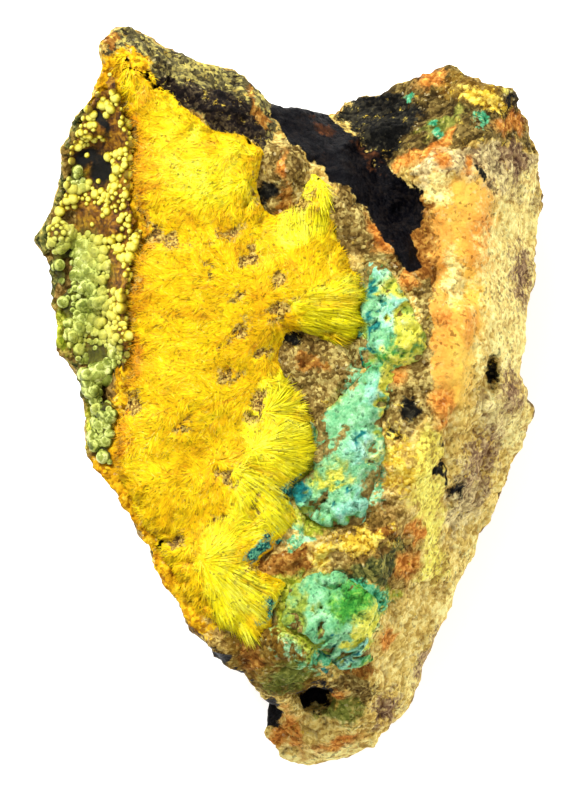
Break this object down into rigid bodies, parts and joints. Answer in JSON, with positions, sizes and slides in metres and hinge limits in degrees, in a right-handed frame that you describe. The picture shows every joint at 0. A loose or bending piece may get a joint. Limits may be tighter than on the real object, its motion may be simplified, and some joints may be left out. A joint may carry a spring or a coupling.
{
  "type": "kamotoite mineral specimen",
  "caption": "Wedge of weathered host rock lying on its back, its face covered by radiating yellow kamotoite crystals with blue-green crusts and a globule-lined hollow.",
  "frame": {"origin": "under the middle of the rock's outline, on the surface that it rests on", "axes": "+Z out of the crystal face, +Y from the narrow end to the broad end, +X to the right seen from above"},
  "size_m": [0.0356, 0.052, 0.0226],
  "materials": {
    "host_rock": "rough",
    "kamotoite": "silky crystal felt",
    "globules": "waxy",
    "blue_green_crust": "earthy"
  },
  "bodies": {
    "root": {"host_rock": "host_rock", "kamotoite_mat": "kamotoite", "globule_lining": "globules", "upper_blue_green_crust": "blue_green_crust", "lower_blue_green_crust": "blue_green_crust"}
  },
  "joints": []
}
